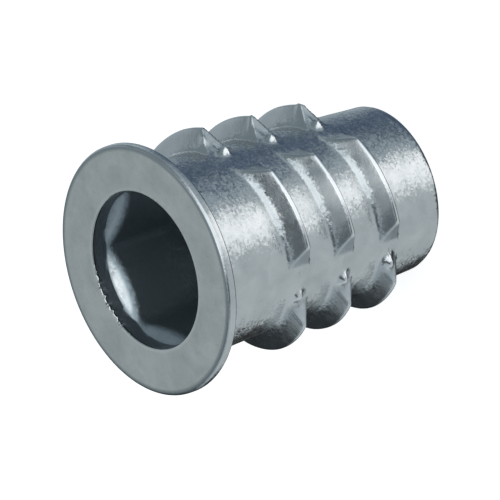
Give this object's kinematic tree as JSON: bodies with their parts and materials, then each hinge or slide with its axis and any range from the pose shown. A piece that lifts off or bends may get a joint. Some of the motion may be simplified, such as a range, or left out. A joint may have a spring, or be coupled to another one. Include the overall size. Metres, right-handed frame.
{
  "type": "threaded insert",
  "caption": "Die-cast zinc insert with a flange, a tapered barrel with a coarse interrupted wood thread, and a hex socket above a machine-threaded bore.",
  "frame": {"origin": "centre of the tail end, on the axis", "axes": "+Z along the axis from the tail to the flange face; two flats of the hex socket face along Y"},
  "size_m": [0.0148, 0.0148, 0.018],
  "materials": {
    "cast_zinc": "bare as-cast zinc alloy, satin with a fine grain"
  },
  "bodies": {
    "root": {"threaded_insert": "cast_zinc"}
  },
  "joints": []
}
